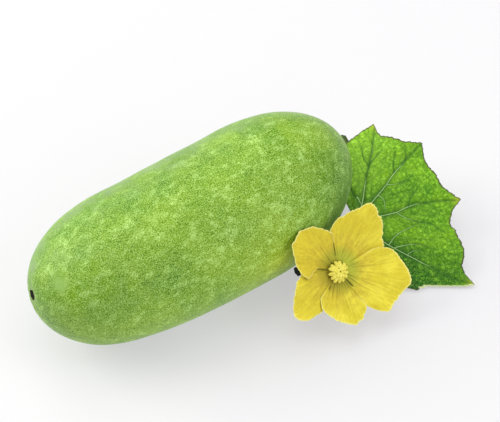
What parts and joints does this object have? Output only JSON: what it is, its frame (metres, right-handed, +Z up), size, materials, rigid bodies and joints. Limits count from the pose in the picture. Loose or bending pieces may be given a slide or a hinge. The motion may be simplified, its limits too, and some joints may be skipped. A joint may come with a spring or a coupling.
{
  "type": "ash gourd",
  "caption": "Long light-green gourd that lies on its belly, picked with a short piece of vine, one lobed leaf and one open yellow flower.",
  "frame": {"origin": "centre of the flat spot under the belly, on the surface that the gourd lies on", "axes": "+X along the gourd towards its stem end, +Z up"},
  "size_m": [0.3879, 0.2115, 0.137],
  "materials": {
    "gourd_skin": "smooth waxy skin, finely mottled with pale specks",
    "green_stem": "ridged, finely hairy green stem with dark cut ends",
    "leaf_green": "fresh leaf with pale veins, slightly rough",
    "petal_yellow": "soft thin petal with darker veins and a pale rim",
    "stamen_cream": "knobbly, powdery with pollen",
    "calyx_green": "softly hairy green"
  },
  "bodies": {
    "root": {"gourd": "gourd_skin", "vine_stem": "green_stem", "leaf": "leaf_green", "flower_petals": "petal_yellow", "flower_stamens": "stamen_cream", "flower_calyx": "calyx_green"}
  },
  "joints": []
}
